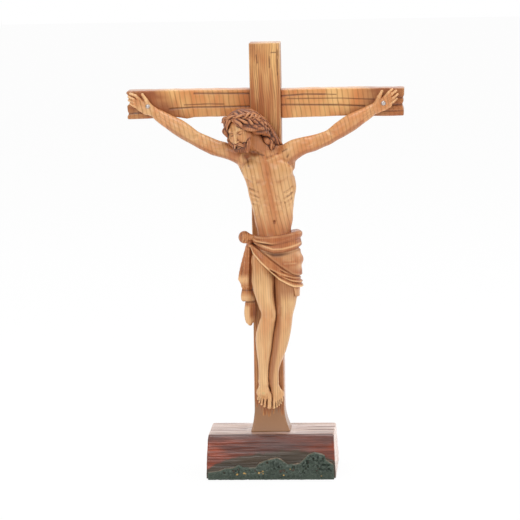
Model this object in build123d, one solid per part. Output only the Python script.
"""A standing table crucifix: a cross on a log-shaped foot, with a carved figure pegged and nailed to it.

Millimetres, +Z up. The origin is in the middle of the underside. The front faces -Y.
Right and left are the figure's own, so its right hand is on the -X side.
"""

import math
import os

from build123d import *

# Foot block, with its felt and the painted ground on its front
FELT_THICKNESS = 1.0
FELT_INSET = 1.5
BASE_LENGTH = 75.0
BASE_HEIGHT = 24.5
BASE_DEPTH = 45.0
BASE_TOP_DEPTH = 33.0
BASE_BULGE = 2.2
BASE_END_SLOPE = 2.6
BASE_EDGE = 0.8
GROUND_THICKNESS = 1.5
GROUND_END_GAP = 0.6
GROUND_HEIGHTS = (5.5, 6.5, 9.0, 6.8, 8.5, 13.0, 9.5, 10.5, 15.5, 12.0, 8.5)

# Upright and beam of the cross
UPRIGHT_WIDTH = 18.0
UPRIGHT_DEPTH = 14.0
UPRIGHT_EDGE = 0.6
FLARE_REACH = 3.2
FLARE_HEIGHT = 10.0
TENON_WIDTH = 11.0
TENON_DEPTH = 8.0
TENON_LENGTH = 13.0
TENON_CLEARANCE = 0.1
TOP_REACH = 34.6
BEAM_LENGTH = 158.0
BEAM_HEIGHT = 16.0
BEAM_DEPTH = 11.0
BEAM_SETBACK = 3.0
BEAM_EDGE = 0.5
LAP_WEB = 6.0
LAP_CLEARANCE = 0.05
NOTCH_DEPTH = 1.6
NOTCH_HEIGHT = 2.6

# Screws from behind and below
SCREW_HEAD_RADIUS = 2.6
SCREW_HEAD_HEIGHT = 1.8
SCREW_SHANK_RADIUS = 1.3
SCREW_POINT = 3.0
SCREW_SLOT = 0.6
SCREW_CLEARANCE = 0.1
BASE_SCREW_BITE = 10.0
LAP_SCREW_BITE = 3.0
BODY_SCREW_BITE = 6.0
BODY_SCREW_RISE = 40.0

# Levels of the figure: even steps up the legs and up the trunk, from the toes to the beam's middle line
TOE_CLEARANCE = 14.4
TOE_HEIGHT = 4.5
LEG_STEP = 9.5
TRUNK_STEP = 10.0
NECK_HEIGHT = 25.0

# Trunk, step by step from the seat to the collar: half widths, half depths, and sway off the cross's middle
TRUNK_HALF_WIDTHS = (12.4, 13.0, 12.4, 11.5, 12.7, 14.1, 16.4, 13.4)
TRUNK_HALF_DEPTHS = (8.0, 8.0, 7.8, 7.1, 7.9, 8.5, 8.0, 5.6)
TRUNK_SWAY = (4.3, 4.5, 4.3, 4.0, 3.4, 2.2, 0.5, -0.7)
BACK_REACH = 0.4
SHOULDER_DROP = 3.4
SHOULDER_FORWARD = 6.8
NECK_RADIUS = 4.8
NECK_FORWARD = 6.4
NECK_SHIFT = 2.0

# Arms and hands
ARM_OUT = 13.4
ARM_RISE = 21.0
ARM_ROOT_RADIUS = 5.9
UPPER_ARM_RADIUS = 4.8
ELBOW_RADIUS = 3.4
FOREARM_RADIUS = 4.2
WRIST_HALF_WIDTH = 2.9
WRIST_HALF_DEPTH = 2.4
WRIST_TO_NAIL = 6.5
PALM_HALF_WIDTH = 4.1
PALM_HALF_DEPTH = 2.0
PALM_REACH = 3.4
HAND_INSET = 12.0
HAND_DROP = 0.4
HAND_RISE = 32.0
ELBOW_SAG = 2.6
FINGER_RADIUS = 0.95
FINGER_CURL = 38.0
FINGER_SPREAD = 9.0
FINGER_LENGTHS = (5.0, 6.2, 6.6, 5.8)
THUMB_LENGTH = 5.6
THUMB_ANGLE = 62.0

# Legs and feet, step by step from the seat to the toe roots
LEG_RADII = (6.2, 5.7, 4.6, 4.1, 4.5, 3.3, 2.6)
RIGHT_LEG_X = (-2.1, -2.6, -0.6, -0.6, -2.4, -3.4, -3.7, -3.9, -3.0)
RIGHT_LEG_FORWARD = (8.0, 11.4, 14.0, 13.2, 10.8, 8.6, 6.9, 5.8, 4.4)
LEFT_LEG_X = (10.7, 10.7, 9.8, 8.6, 7.6, 5.2, 3.2, 2.4, 3.9)
LEFT_LEG_FORWARD = (8.0, 10.4, 12.2, 11.0, 9.0, 7.0, 5.2, 3.8, 2.4)
INSTEP_HALF_WIDTH = 3.1
INSTEP_DEPTH = 2.8
BALL_HALF_WIDTH = 4.0
BALL_DEPTH = 1.8
TOE_RADIUS = 0.85
TOE_TAPER = 0.12
TOE_COUNT = 5

# Head, hair and crown
HEAD_SHIFT = 12.0
HEAD_FORWARD = 15.0
HEAD_RISE = 11.4
HEAD_HALF_HEIGHT = 11.5
HEAD_HALF_WIDTH = 7.7
HEAD_HALF_DEPTH = 8.6
HAIR_THICKNESS = 2.0
HEAD_LEAN = 14.0
HEAD_NOD = 6.0
HEAD_TURN = 30.0
NOSE_LENGTH = 5.6
NOSE_REACH = 1.9
BEARD_LENGTH = 5.0
LOCK_LENGTH = 15.0
CROWN_RADIUS = 10.4
CROWN_STRAND_RADIUS = 1.3
CROWN_LEVEL = 6.0
CROWN_BACK = 2.0
CROWN_TILT = -24.0
THORN_LENGTH = 2.4
THORN_LEAN = 25.0
THORN_COUNT = 10

# Loincloth
CLOTH_THICKNESS = 1.4
CLOTH_EASE = 0.3
WRAP_SWAY = 4.5
WRAP_STEP = 22.0
WRAP_RISE = 5.0
WRAP_HALF_WIDTHS = (12.8, 13.6, 12.5)
WRAP_HALF_DEPTHS = (10.4, 9.6, 8.0)
CLOTH_ROLL = 0.9
CLOTH_TOP = 22.0
CLOTH_TOP_SLOPE = 6.0
ROLL_HEIGHT = 5.5
HEM_BAND = 5.0
HEM_SLOPE = 46.0
HEM_CENTRE = 0.0
KNOT_RADIUS = 3.4
KNOT_OUT = 17.0
KNOT_FORWARD = 8.5
TAIL_HALF_WIDTH = 3.6
TAIL_HALF_DEPTH = 2.8
TAIL_TIERS = (24.0, 11.0, 15.0)
TIER_LAP = 2.0

# Pegs and nails
PEG_CLEARANCE = 0.05
SHOULDER_PEG_RADIUS = 1.5
SHOULDER_PEG_LENGTH = 9.0
HIP_PEG_RADIUS = 1.5
HIP_PEG_LENGTH = 13.0
NECK_PEG_RADIUS = 1.8
NECK_PEG_LENGTH = 8.0
NAIL_RADIUS = 0.6
NAIL_HEAD_RADIUS = 1.3
NAIL_HEAD_HEIGHT = 0.8
NAIL_RIM = 0.2
NAIL_BITE = 5.0
NAIL_CLEARANCE = 0.05
FOOT_NAIL_RISE = 5.0
FOOT_NAIL_STANDS = 1.2

# Heights that follow from the sizes above
base_bottom = FELT_THICKNESS
base_top = base_bottom + BASE_HEIGHT
toe_z = base_top + TOE_CLEARANCE
toe_root_z = toe_z + TOE_HEIGHT
seat_z = toe_root_z + (len(RIGHT_LEG_X) - 1) * LEG_STEP
collar_z = seat_z + (len(TRUNK_HALF_WIDTHS) - 1) * TRUNK_STEP
crossing_z = collar_z + NECK_HEIGHT
total_height = crossing_z + TOP_REACH
upright_front = -UPRIGHT_DEPTH / 2
upright_back = UPRIGHT_DEPTH / 2
beam_front = upright_front + BEAM_SETBACK
beam_back = beam_front + BEAM_DEPTH
lap_face = upright_front + LAP_WEB

FRONT = Vector(0, -1, 0)
UP = Vector(0, 0, 1)
cross_face = Plane(origin=(0, upright_front, 0), z_dir=(0, -1, 0))
beam_face = Plane(origin=(0, beam_front, 0), z_dir=(0, -1, 0))


def figure(x, forward, z):
    """A point of the figure: across from the cross's middle, forward of the upright's face, and its height."""
    return Vector(x, upright_front - forward, z)


def outline(centre, axis, half_width, front_depth, back_depth, front=FRONT, pleat=0.0, count=8):
    """A smooth closed section square to axis, with its own depth to the front and to the back."""
    across = axis.normalized()
    ahead = (front - across * front.dot(across)).normalized()
    side = ahead.cross(across)
    points = []
    for step in range(count):
        angle = 2 * math.pi * step / count
        reach = 1 - pleat * (step % 2)
        depth = front_depth if math.cos(angle) > 0 else back_depth
        points.append(centre + (side * (half_width * math.sin(angle)) + ahead * (depth * math.cos(angle))) * reach)
    return make_face(Spline(*points, periodic=True))


def capsule(start, end, start_radius, end_radius):
    """A tapering rod with a round end, as for a finger joint."""
    length = (end - start).length
    half = (
        Line((0, 0), (start_radius, 0))
        + Line((start_radius, 0), (end_radius, length))
        + RadiusArc((end_radius, length), (0, length + end_radius), -end_radius)
        + Line((0, length + end_radius), (0, 0))
    )
    return Plane(origin=start, z_dir=end - start) * revolve(Plane.XZ * make_face(half), Axis.Z)


def pin(start, along, radius, length):
    """A plain round rod from start, in the direction along."""
    return Plane(origin=start, z_dir=along) * Cylinder(
        radius, length, align=(Align.CENTER, Align.CENTER, Align.MIN)
    )


def screw(start, along, length, clearance=0.0):
    """A countersunk wood screw with its head flat at start; with a clearance, the hole for it."""
    head = SCREW_HEAD_RADIUS + clearance
    shank = SCREW_SHANK_RADIUS + clearance
    half = Polyline(
        (0, 0),
        (head, 0),
        (shank, SCREW_HEAD_HEIGHT),
        (shank, length - SCREW_POINT),
        (0, length + clearance),
        close=True,
    )
    body = revolve(Plane.XZ * make_face(half), Axis.Z)
    if clearance == 0:
        body -= Box(2 * SCREW_HEAD_RADIUS, SCREW_SLOT, 2 * SCREW_SLOT)
    return Plane(origin=start, z_dir=along) * body


def nail(seat, along, length, clearance=0.0):
    """A dome-headed nail with the underside of its head at seat; with a clearance, the hole for it."""
    head = NAIL_HEAD_RADIUS + clearance
    shank = NAIL_RADIUS + clearance
    depth = length + clearance
    dome = NAIL_HEAD_HEIGHT - NAIL_RIM
    half = (
        Line((0, -depth), (shank, -depth))
        + Line((shank, -depth), (shank, -clearance))
        + Line((shank, -clearance), (head, -clearance))
        + Line((head, -clearance), (head, NAIL_RIM))
        + RadiusArc((head, NAIL_RIM), (0, NAIL_HEAD_HEIGHT), -(head**2 + dome**2) / (2 * dome))
        + Line((0, NAIL_HEAD_HEIGHT), (0, -depth))
    )
    return Plane(origin=seat, z_dir=along * -1) * revolve(Plane.XZ * make_face(half), Axis.Z)


# Foot block: a hewn half-log with bellied front and back and slightly sloping ends


def log_profile(skin):
    """End view of the foot block, grown by skin to the front and back."""
    foot = BASE_DEPTH / 2 + skin
    top = BASE_TOP_DEPTH / 2 + skin
    belly = (foot + top) / 2 + BASE_BULGE
    middle = base_bottom + BASE_HEIGHT / 2
    wire = (
        Line((-foot, base_bottom), (foot, base_bottom))
        + ThreePointArc((foot, base_bottom), (belly, middle), (top, base_top))
        + Line((top, base_top), (-top, base_top))
        + ThreePointArc((-top, base_top), (-belly, middle), (-foot, base_bottom))
    )
    return Plane.YZ * make_face(wire)


end_lean = BASE_HEIGHT * math.tan(math.radians(BASE_END_SLOPE))
front_view = make_face(
    Polyline(
        (-BASE_LENGTH / 2, base_bottom),
        (BASE_LENGTH / 2, base_bottom),
        (BASE_LENGTH / 2 - end_lean, base_top),
        (-BASE_LENGTH / 2 + end_lean, base_top),
        close=True,
    )
)
front_prism = extrude(Plane.XZ * front_view, BASE_DEPTH, both=True)
log = extrude(log_profile(0), BASE_LENGTH, both=True) & front_prism
log = fillet(log.edges().group_by(Axis.Z)[1:], BASE_EDGE)

tenon_floor = base_top - TENON_LENGTH
mortise = Pos(0, 0, base_top) * Box(
    TENON_WIDTH + 2 * TENON_CLEARANCE,
    TENON_DEPTH + 2 * TENON_CLEARANCE,
    2 * (TENON_LENGTH + TENON_CLEARANCE),
)
base_screw_start = Vector(0, 0, base_bottom)
base_screw_length = BASE_HEIGHT - TENON_LENGTH + BASE_SCREW_BITE
base_block = log - mortise - screw(base_screw_start, UP, base_screw_length, SCREW_CLEARANCE)
base_screw = screw(base_screw_start, UP, base_screw_length)

felt_pad = Pos(0, 0, FELT_THICKNESS / 2) * Box(
    BASE_LENGTH - 2 * FELT_INSET, BASE_DEPTH - 2 * FELT_INSET, FELT_THICKNESS
)

# Ground relief: a thin modelled bank of rock and moss laid over the lower front of the block
ground_half = BASE_LENGTH / 2 - end_lean - GROUND_END_GAP
ground_pitch = 2 * ground_half / (len(GROUND_HEIGHTS) - 1)
ground_points = [
    (-ground_half + step * ground_pitch, base_bottom + height) for step, height in enumerate(GROUND_HEIGHTS)
]
ground_edge = (
    Spline(*ground_points)
    + Line(ground_points[-1], (ground_half, base_bottom))
    + Line((ground_half, base_bottom), (-ground_half, base_bottom))
    + Line((-ground_half, base_bottom), ground_points[0])
)
ground_prism = extrude(Plane.XZ * make_face(ground_edge), BASE_DEPTH)
ground_relief = (extrude(log_profile(GROUND_THICKNESS), BASE_LENGTH, both=True) & ground_prism) - log

# Upright: a square post flared at its foot, tenoned into the block and housed for the beam
side_reach = UPRIGHT_WIDTH / 2 + FLARE_REACH
front_reach = upright_front - FLARE_REACH
flare_top = base_top + FLARE_HEIGHT
flare_bend = base_top + FLARE_HEIGHT / 4
post_front = (
    Line((-side_reach, base_top), (side_reach, base_top))
    + Bezier((side_reach, base_top), (UPRIGHT_WIDTH / 2, flare_bend), (UPRIGHT_WIDTH / 2, flare_top))
    + Line((UPRIGHT_WIDTH / 2, flare_top), (UPRIGHT_WIDTH / 2, total_height))
    + Line((UPRIGHT_WIDTH / 2, total_height), (-UPRIGHT_WIDTH / 2, total_height))
    + Line((-UPRIGHT_WIDTH / 2, total_height), (-UPRIGHT_WIDTH / 2, flare_top))
    + Bezier((-UPRIGHT_WIDTH / 2, flare_top), (-UPRIGHT_WIDTH / 2, flare_bend), (-side_reach, base_top))
)
post_side = (
    Line((front_reach, base_top), (upright_back, base_top))
    + Line((upright_back, base_top), (upright_back, total_height))
    + Line((upright_back, total_height), (upright_front, total_height))
    + Line((upright_front, total_height), (upright_front, flare_top))
    + Bezier((upright_front, flare_top), (upright_front, flare_bend), (front_reach, base_top))
)
post = extrude(Plane.XZ * make_face(post_front), UPRIGHT_DEPTH + FLARE_REACH, both=True)
post = post & extrude(Plane.YZ * make_face(post_side), side_reach, both=True)
post = chamfer(post.edges().filter_by(Axis.Z) + post.edges().group_by(Axis.Z)[-1], UPRIGHT_EDGE)
post += Pos(0, 0, base_top) * Box(TENON_WIDTH, TENON_DEPTH, 2 * TENON_LENGTH)
housing = Pos(0, lap_face, crossing_z) * Box(
    UPRIGHT_WIDTH + 2 * FLARE_REACH,
    2 * UPRIGHT_DEPTH,
    BEAM_HEIGHT + 2 * LAP_CLEARANCE,
    align=(Align.CENTER, Align.MIN, Align.CENTER),
)
body_screw_start = Vector(0, upright_back, seat_z + BODY_SCREW_RISE)
body_screw_length = UPRIGHT_DEPTH + BODY_SCREW_BITE
lap_screw_start = Vector(0, beam_back, crossing_z)
lap_screw_length = beam_back - lap_face + LAP_SCREW_BITE
lap_screw_hole = screw(lap_screw_start, FRONT, lap_screw_length, SCREW_CLEARANCE)
body_screw_hole = screw(body_screw_start, FRONT, body_screw_length, SCREW_CLEARANCE)
lap_screw = screw(lap_screw_start, FRONT, lap_screw_length)
body_screw = screw(body_screw_start, FRONT, body_screw_length)
base_screw_hole = screw(base_screw_start, UP, base_screw_length, SCREW_CLEARANCE)
upright = post - housing - lap_screw_hole - body_screw_hole - base_screw_hole

# Beam: set back behind the post's face, halved over it, with hewn notches in both ends
bar = Pos(0, beam_front, crossing_z) * Box(
    BEAM_LENGTH, BEAM_DEPTH, BEAM_HEIGHT, align=(Align.CENTER, Align.MIN, Align.CENTER)
)
bar = chamfer(bar.edges().filter_by(Axis.X) + bar.edges().filter_by(Axis.Y), BEAM_EDGE)
for side in (-1, 1):
    for level in (-1, 1):
        tip = (side * (BEAM_LENGTH / 2 - NOTCH_DEPTH), crossing_z + level * BEAM_HEIGHT / 4)
        wedge = Polyline(
            tip,
            (side * BEAM_LENGTH / 2, tip[1] + NOTCH_HEIGHT / 2),
            (side * BEAM_LENGTH / 2, tip[1] - NOTCH_HEIGHT / 2),
            close=True,
        )
        bar -= extrude(Plane.XZ * make_face(wedge), 2 * BEAM_DEPTH, both=True)
lap_notch = Pos(0, lap_face, crossing_z) * Box(
    UPRIGHT_WIDTH + 2 * LAP_CLEARANCE,
    2 * BEAM_DEPTH,
    2 * BEAM_HEIGHT,
    align=(Align.CENTER, Align.MAX, Align.CENTER),
)
crossbeam = bar - lap_notch - lap_screw_hole

# Trunk: one carved piece from the seat to the collar, its back planed flat to lie on the post


def trunk_section(x, z, half_width, half_depth, skin=0.0):
    """A level section of the trunk with its back just reaching the post's face."""
    centre = figure(x, half_depth - BACK_REACH, z)
    return outline(centre, UP, half_width + skin, half_depth + skin, half_depth + skin)


levels = [seat_z + step * TRUNK_STEP for step in range(len(TRUNK_HALF_WIDTHS))]
trunk = loft([trunk_section(*row) for row in zip(TRUNK_SWAY, levels, TRUNK_HALF_WIDTHS, TRUNK_HALF_DEPTHS)])
trunk = split(trunk, bisect_by=cross_face, keep=Keep.TOP)


def shoulder(side):
    """The flat seam where an arm meets the trunk, facing along the arm."""
    rise = math.radians(ARM_RISE)
    along = Vector(side * math.cos(rise), 0, math.sin(rise))
    centre = figure(TRUNK_SWAY[-1] + side * ARM_OUT, SHOULDER_FORWARD, collar_z - SHOULDER_DROP)
    return Plane(origin=centre, x_dir=FRONT, z_dir=along)


for side in (-1, 1):
    trunk = split(trunk, bisect_by=shoulder(side), keep=Keep.BOTTOM)

# Arms: each one piece from the shoulder seam to the fingertips, the hand lying flat on the beam


def arm(side):
    """One arm with its open hand, the palm to the front and the thumb up."""
    seam = shoulder(side)
    rise = math.radians(HAND_RISE)
    hand = Vector(side * math.cos(rise), 0, math.sin(rise))
    thumb_side = Vector(-side * math.sin(rise), 0, math.cos(rise))
    palm = nail_point(side)
    wrist = palm - hand * WRIST_TO_NAIL + FRONT * (WRIST_HALF_DEPTH - PALM_HALF_DEPTH)
    knuckles = palm + hand * PALM_REACH
    elbow = (seam.origin + wrist) * 0.5 - UP * ELBOW_SAG
    biceps = (seam.origin + elbow) * 0.5
    forearm = (elbow + wrist) * 0.5
    limb = loft(
        [
            outline(seam.origin, seam.z_dir, ARM_ROOT_RADIUS, ARM_ROOT_RADIUS, ARM_ROOT_RADIUS),
            outline(biceps, elbow - seam.origin, UPPER_ARM_RADIUS, UPPER_ARM_RADIUS, UPPER_ARM_RADIUS),
            outline(elbow, wrist - seam.origin, ELBOW_RADIUS, ELBOW_RADIUS, ELBOW_RADIUS),
            outline(forearm, wrist - elbow, FOREARM_RADIUS, FOREARM_RADIUS, FOREARM_RADIUS),
            outline(wrist, hand, WRIST_HALF_WIDTH, WRIST_HALF_DEPTH, WRIST_HALF_DEPTH),
        ]
    )
    flat_hand = loft(
        [
            outline(wrist, hand, WRIST_HALF_WIDTH, WRIST_HALF_DEPTH, WRIST_HALF_DEPTH),
            outline((wrist + knuckles) / 2, hand, PALM_HALF_WIDTH, PALM_HALF_DEPTH, PALM_HALF_DEPTH),
            outline(knuckles, hand, PALM_HALF_WIDTH, PALM_HALF_DEPTH, PALM_HALF_DEPTH),
        ]
    )
    digits = [flat_hand]
    pitch = 2 * (PALM_HALF_WIDTH - FINGER_RADIUS) / (len(FINGER_LENGTHS) - 1)
    for place, length in enumerate(FINGER_LENGTHS):
        across = PALM_HALF_WIDTH - FINGER_RADIUS - place * pitch
        fan = math.radians(FINGER_SPREAD) * (len(FINGER_LENGTHS) - 1 - 2 * place) / 2
        ahead = hand * math.cos(fan) + thumb_side * math.sin(fan)
        curl = math.radians(FINGER_CURL)
        root = knuckles + thumb_side * across - hand * FINGER_RADIUS
        joint = root + ahead * (length * 0.6)
        tip = joint + (ahead * math.cos(curl) + FRONT * math.sin(curl)) * (length * 0.5)
        digits.append(capsule(root, joint, FINGER_RADIUS * 1.1, FINGER_RADIUS))
        digits.append(capsule(joint, tip, FINGER_RADIUS, FINGER_RADIUS * 0.8))
    spread = math.radians(THUMB_ANGLE)
    thumb_root = palm + thumb_side * (PALM_HALF_WIDTH - 2 * FINGER_RADIUS)
    thumb_tip = thumb_root + (hand * math.cos(spread) + thumb_side * math.sin(spread)) * THUMB_LENGTH
    digits.append(capsule(thumb_root, thumb_tip, FINGER_RADIUS * 1.3, FINGER_RADIUS * 0.9))
    return split(limb + digits, bisect_by=beam_face, keep=Keep.TOP)


def nail_point(side):
    """The middle of a palm, where its nail goes through."""
    return Vector(side * (BEAM_LENGTH / 2 - HAND_INSET), beam_front - PALM_HALF_DEPTH, crossing_z - HAND_DROP)


def hand_nail(side, clearance=0.0):
    """A hand's nail, its head on the palm."""
    seat = nail_point(side) + FRONT * PALM_HALF_DEPTH
    return nail(seat, FRONT * -1, 2 * PALM_HALF_DEPTH + NAIL_BITE, clearance)


def shoulder_peg(side, clearance=0.0):
    """A peg half in the trunk and half in the arm."""
    seam = shoulder(side)
    length = SHOULDER_PEG_LENGTH + 2 * clearance
    return pin(seam.origin - seam.z_dir * (length / 2), seam.z_dir, SHOULDER_PEG_RADIUS + clearance, length)


right_arm = arm(-1) - hand_nail(-1, NAIL_CLEARANCE) - shoulder_peg(-1, PEG_CLEARANCE)
left_arm = arm(1) - hand_nail(1, NAIL_CLEARANCE) - shoulder_peg(1, PEG_CLEARANCE)
hand_nails = Compound(children=[hand_nail(-1), hand_nail(1)])
shoulder_pegs = Compound(children=[shoulder_peg(-1), shoulder_peg(1)])
crossbeam -= hand_nail(-1, NAIL_CLEARANCE)
crossbeam -= hand_nail(1, NAIL_CLEARANCE)

# Legs: each one piece from the seat down to the toes, the right foot drawn a little over the left


def leg(side, across, forward):
    """One leg bent forward at the knee, the foot pointing down along the post."""
    sections = []
    for step, radius in enumerate(LEG_RADII):
        centre = figure(across[step], forward[step], seat_z - step * LEG_STEP)
        sections.append(outline(centre, UP, radius, radius, radius))
    instep = figure(across[-2], forward[-2], toe_root_z + LEG_STEP)
    ball = figure(across[-1], forward[-1], toe_root_z)
    sections.append(outline(instep, UP, INSTEP_HALF_WIDTH, INSTEP_DEPTH, forward[-2]))
    sections.append(outline(ball, UP, BALL_HALF_WIDTH, BALL_DEPTH, forward[-1]))
    toes = []
    pitch = 2 * (BALL_HALF_WIDTH - TOE_RADIUS) / (TOE_COUNT - 1)
    for place in range(TOE_COUNT):
        radius = TOE_RADIUS * (1 - TOE_TAPER * (place - 1))
        root = ball + Vector(side * (place * pitch - BALL_HALF_WIDTH + TOE_RADIUS), 0, 0)
        tip = root - UP * (TOE_HEIGHT - radius) * (1 - TOE_TAPER * place)
        toes.append(capsule(root, tip, radius * 1.15, radius))
    return split(loft(sections) + toes, bisect_by=cross_face, keep=Keep.TOP)


def hip_joint(side):
    """The middle of a leg's seam with the trunk."""
    across = LEFT_LEG_X[0] if side > 0 else RIGHT_LEG_X[0]
    return figure(across, RIGHT_LEG_FORWARD[0], seat_z)


def hip_peg(side, clearance=0.0):
    """A peg half in the trunk and half in the thigh."""
    length = HIP_PEG_LENGTH + 2 * clearance
    return pin(hip_joint(side) - UP * (length / 2), UP, HIP_PEG_RADIUS + clearance, length)


foot_nail_seat = figure(RIGHT_LEG_X[-2], RIGHT_LEG_FORWARD[-2] + FOOT_NAIL_STANDS, toe_root_z + FOOT_NAIL_RISE)
foot_nail_length = RIGHT_LEG_FORWARD[-2] + FOOT_NAIL_STANDS + NAIL_BITE
foot_nail = nail(foot_nail_seat, FRONT * -1, foot_nail_length)
foot_nail_hole = nail(foot_nail_seat, FRONT * -1, foot_nail_length, NAIL_CLEARANCE)
right_leg = leg(-1, RIGHT_LEG_X, RIGHT_LEG_FORWARD)
left_leg = leg(1, LEFT_LEG_X, LEFT_LEG_FORWARD) - right_leg
right_leg = right_leg - foot_nail_hole - hip_peg(-1, PEG_CLEARANCE)
left_leg = left_leg - hip_peg(1, PEG_CLEARANCE)
upright -= foot_nail_hole
hip_pegs = Compound(children=[hip_peg(-1), hip_peg(1)])

# Head: skull and face, hair with long locks, and a pointed beard, all one carving on a short neck
head_centre = figure(-HEAD_SHIFT, HEAD_FORWARD, collar_z + HEAD_RISE)
pose = Pos(*head_centre) * Rot(0, -HEAD_LEAN, 0) * Rot(0, 0, -HEAD_TURN) * Rot(HEAD_NOD, 0, 0)


def head_section(level, width, depth, skin=0.0, forward=0.0):
    """A level section of the upright head: its height, half width and half depth as shares of the head's own."""
    centre = Vector(0, -forward, level * HEAD_HALF_HEIGHT)
    half_depth = depth * HEAD_HALF_DEPTH + skin
    return outline(centre, UP, width * HEAD_HALF_WIDTH + skin, half_depth, half_depth)


jaw_forward = HEAD_HALF_DEPTH / 5
skull = loft(
    [
        head_section(-1.0, 0.40, 0.34, forward=2.2 * jaw_forward),
        head_section(-0.5, 0.80, 0.80, forward=0.8 * jaw_forward),
        head_section(0.1, 0.97, 0.98),
        head_section(0.6, 0.84, 0.88),
        head_section(1.0, 0.3, 0.32),
    ]
)
hair = loft(
    [
        head_section(-0.9, 0.9, 0.6, HAIR_THICKNESS, forward=-2.4 * jaw_forward),
        head_section(-0.2, 1.05, 0.8, HAIR_THICKNESS, forward=-1.8 * jaw_forward),
        head_section(0.4, 0.98, 0.94, HAIR_THICKNESS, forward=-0.6 * jaw_forward),
        head_section(0.8, 0.74, 0.78, HAIR_THICKNESS),
        head_section(1.1, 0.2, 0.24, HAIR_THICKNESS),
    ]
)
nose_top = Vector(0, -0.92 * HEAD_HALF_DEPTH, 0.12 * HEAD_HALF_HEIGHT)
nose = loft(
    [
        outline(nose_top, UP, NOSE_REACH / 2, NOSE_REACH / 2, NOSE_REACH),
        outline(nose_top - UP * NOSE_LENGTH, UP, 0.7 * NOSE_REACH, NOSE_REACH, NOSE_REACH),
    ]
)
beard_root = Vector(0, -2.2 * jaw_forward, -0.65 * HEAD_HALF_HEIGHT)
beard_tip = Vector(0, -2.8 * jaw_forward, -HEAD_HALF_HEIGHT - BEARD_LENGTH)
beard = loft(
    [
        outline(beard_root, UP, 0.66 * HEAD_HALF_WIDTH, 0.56 * HEAD_HALF_DEPTH, 0.3 * HEAD_HALF_DEPTH),
        outline((beard_root + beard_tip) / 2, UP, 0.5 * HEAD_HALF_WIDTH, 0.45 * HEAD_HALF_DEPTH, 0.3 * HEAD_HALF_DEPTH),
        outline(beard_tip, UP, 0.2 * HEAD_HALF_WIDTH, 0.2 * HEAD_HALF_DEPTH, 0.2 * HEAD_HALF_DEPTH),
    ]
)


def lock(side):
    """A thick wavy lock of hair falling from the temple to the shoulder."""
    top = Vector(side * HEAD_HALF_WIDTH, 0, 0.1 * HEAD_HALF_HEIGHT)
    drop = UP * (LOCK_LENGTH / 3)
    out = Vector(side * HAIR_THICKNESS, 0, 0)
    return loft(
        [
            outline(top, UP, HAIR_THICKNESS, 2 * HAIR_THICKNESS, 2 * HAIR_THICKNESS),
            outline(top - drop + out, UP, 1.2 * HAIR_THICKNESS, 2 * HAIR_THICKNESS, 2 * HAIR_THICKNESS),
            outline(top - drop * 2, UP, 1.3 * HAIR_THICKNESS, 1.8 * HAIR_THICKNESS, 2 * HAIR_THICKNESS),
            outline(top - drop * 3, UP, 0.6 * HAIR_THICKNESS, HAIR_THICKNESS, HAIR_THICKNESS),
        ]
    )


# Crown: a ring of twisted twig with thorns, pressed down over the hair
thorns = []
for thorn in range(THORN_COUNT):
    heading = 360 * thorn / THORN_COUNT
    lean = THORN_LEAN if thorn % 2 else -THORN_LEAN
    spike = Cone(CROWN_STRAND_RADIUS * 0.6, CROWN_STRAND_RADIUS * 0.1, THORN_LENGTH)
    reach = CROWN_RADIUS + CROWN_STRAND_RADIUS / 2 + THORN_LENGTH / 2
    thorns.append(Rot(0, 0, heading) * Pos(reach, 0, 0) * Rot(lean, 90, 0) * spike)
crown_place = pose * Pos(0, CROWN_BACK, CROWN_LEVEL) * Rot(CROWN_TILT, 0, 0)
crown = crown_place * (Torus(CROWN_RADIUS, CROWN_STRAND_RADIUS) + thorns)

neck_centre = figure(-NECK_SHIFT, NECK_FORWARD, collar_z)
neck_top = (pose * Pos(0, 0, -0.3 * HEAD_HALF_HEIGHT)).position
neck_rise = neck_top - neck_centre
neck_start = neck_centre - neck_rise.normalized() * NECK_RADIUS
neck = split(
    pin(neck_start, neck_rise, NECK_RADIUS, neck_rise.length + NECK_RADIUS),
    bisect_by=Plane.XY.offset(collar_z),
    keep=Keep.TOP,
)


def neck_peg_at(clearance=0.0):
    """The peg that joins head and trunk."""
    length = NECK_PEG_LENGTH + 2 * clearance
    return pin(neck_centre - UP * (length / 2), UP, NECK_PEG_RADIUS + clearance, length)


neck_peg = neck_peg_at()
head = (pose * skull) + [pose * hair, pose * nose, pose * beard, pose * lock(-1), pose * lock(1), neck]
head = head - [crown, trunk, right_arm, left_arm, neck_peg_at(PEG_CLEARANCE)]
head = head - [shoulder_peg(-1, PEG_CLEARANCE), shoulder_peg(1, PEG_CLEARANCE)]
torso = trunk - neck_peg_at(PEG_CLEARANCE) - shoulder_peg(-1, PEG_CLEARANCE) - shoulder_peg(1, PEG_CLEARANCE)
torso = torso - hip_peg(-1, PEG_CLEARANCE) - hip_peg(1, PEG_CLEARANCE) - body_screw_hole

# Loincloth: a wrap with a rolled waist and a rolled slanting hem, knotted at the right hip


def wrap(skin):
    """The cloth's form around hips and thighs: its inside, grown by skin."""
    inside = skin + CLOTH_EASE
    rows = zip(WRAP_HALF_WIDTHS, WRAP_HALF_DEPTHS)
    return loft(
        [
            trunk_section(WRAP_SWAY, seat_z + (step - 1) * WRAP_STEP + WRAP_RISE, width, depth, inside)
            for step, (width, depth) in enumerate(rows)
        ]
    )


def slanted(z, slope):
    """A plane through the cloth's middle at height z, falling to the figure's left by slope."""
    fall = math.radians(slope)
    return Plane(origin=(WRAP_SWAY, 0, z), z_dir=(math.sin(fall), 0, math.cos(fall)))


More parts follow.
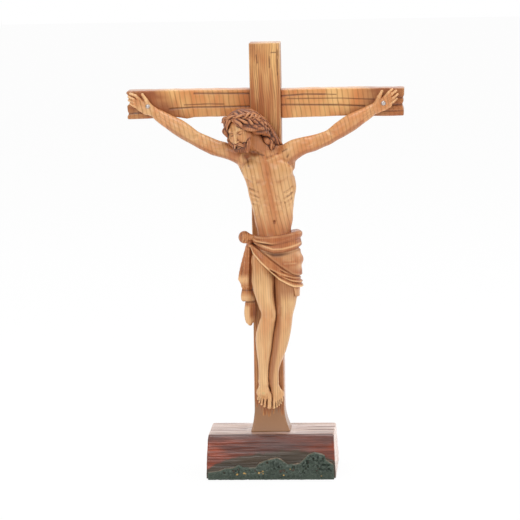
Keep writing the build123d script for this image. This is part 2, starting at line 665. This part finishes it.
waist_plane = slanted(seat_z + CLOTH_TOP, -CLOTH_TOP_SLOPE)
roll_plane = slanted(seat_z + CLOTH_TOP - ROLL_HEIGHT, -CLOTH_TOP_SLOPE)
hem_plane = slanted(seat_z + HEM_CENTRE, HEM_SLOPE)
band_plane = hem_plane.offset(HEM_BAND)


def between(skin, upper, lower):
    """The part of the wrap that lies under one plane and over another."""
    under = split(wrap(skin), bisect_by=upper, keep=Keep.BOTTOM)
    return split(under, bisect_by=lower, keep=Keep.TOP)


waist_roll = split(
    between(CLOTH_THICKNESS + CLOTH_ROLL, waist_plane, roll_plane), bisect_by=hem_plane, keep=Keep.TOP
)
hem_roll = split(
    between(CLOTH_THICKNESS + CLOTH_ROLL, band_plane, hem_plane), bisect_by=waist_plane, keep=Keep.BOTTOM
)
cloth = between(CLOTH_THICKNESS, waist_plane, hem_plane) + [waist_roll, hem_roll]
cloth = split(cloth, bisect_by=cross_face, keep=Keep.TOP)
loincloth = cloth - wrap(0)

knot_centre = figure(WRAP_SWAY - KNOT_OUT, KNOT_FORWARD, seat_z + CLOTH_TOP - ROLL_HEIGHT / 2)
knot_seat = wrap(CLOTH_THICKNESS + CLOTH_ROLL)
cloth_knot = (Pos(*knot_centre) * Rot(0, 0, 180) * Sphere(KNOT_RADIUS)) - knot_seat

tail_top = knot_centre
tiers = []
for place, fall in enumerate(TAIL_TIERS):
    tail_end = tail_top - UP * fall
    gather = outline(
        tail_top + UP * TIER_LAP * min(place, 1), UP, TAIL_HALF_WIDTH * 0.6, TAIL_HALF_DEPTH * 0.6, TAIL_HALF_DEPTH * 0.6
    )
    spread = outline(
        tail_end, UP, TAIL_HALF_WIDTH, TAIL_HALF_DEPTH, TAIL_HALF_DEPTH, pleat=0.18, count=12
    )
    tiers.append(loft([gather, spread]))
    tail_top = tail_end
tail = tiers[0] + tiers[1:]
cloth_tail = tail - cloth_knot - knot_seat - right_leg

parts = {
    "felt_pad": felt_pad,
    "base_block": base_block,
    "ground_relief": ground_relief,
    "upright": upright,
    "crossbeam": crossbeam,
    "base_screw": base_screw,
    "lap_screw": lap_screw,
    "body_screw": body_screw,
    "torso": torso,
    "head": head,
    "crown": crown,
    "neck_peg": neck_peg,
    "right_arm": right_arm,
    "left_arm": left_arm,
    "shoulder_pegs": shoulder_pegs,
    "hand_nails": hand_nails,
    "right_leg": right_leg,
    "left_leg": left_leg,
    "hip_pegs": hip_pegs,
    "foot_nail": foot_nail,
    "loincloth": loincloth,
    "cloth_knot": cloth_knot,
    "cloth_tail": cloth_tail,
}
os.makedirs("parts", exist_ok=True)
for name, shape in parts.items():
    export_step(shape, f"parts/{name}.step")
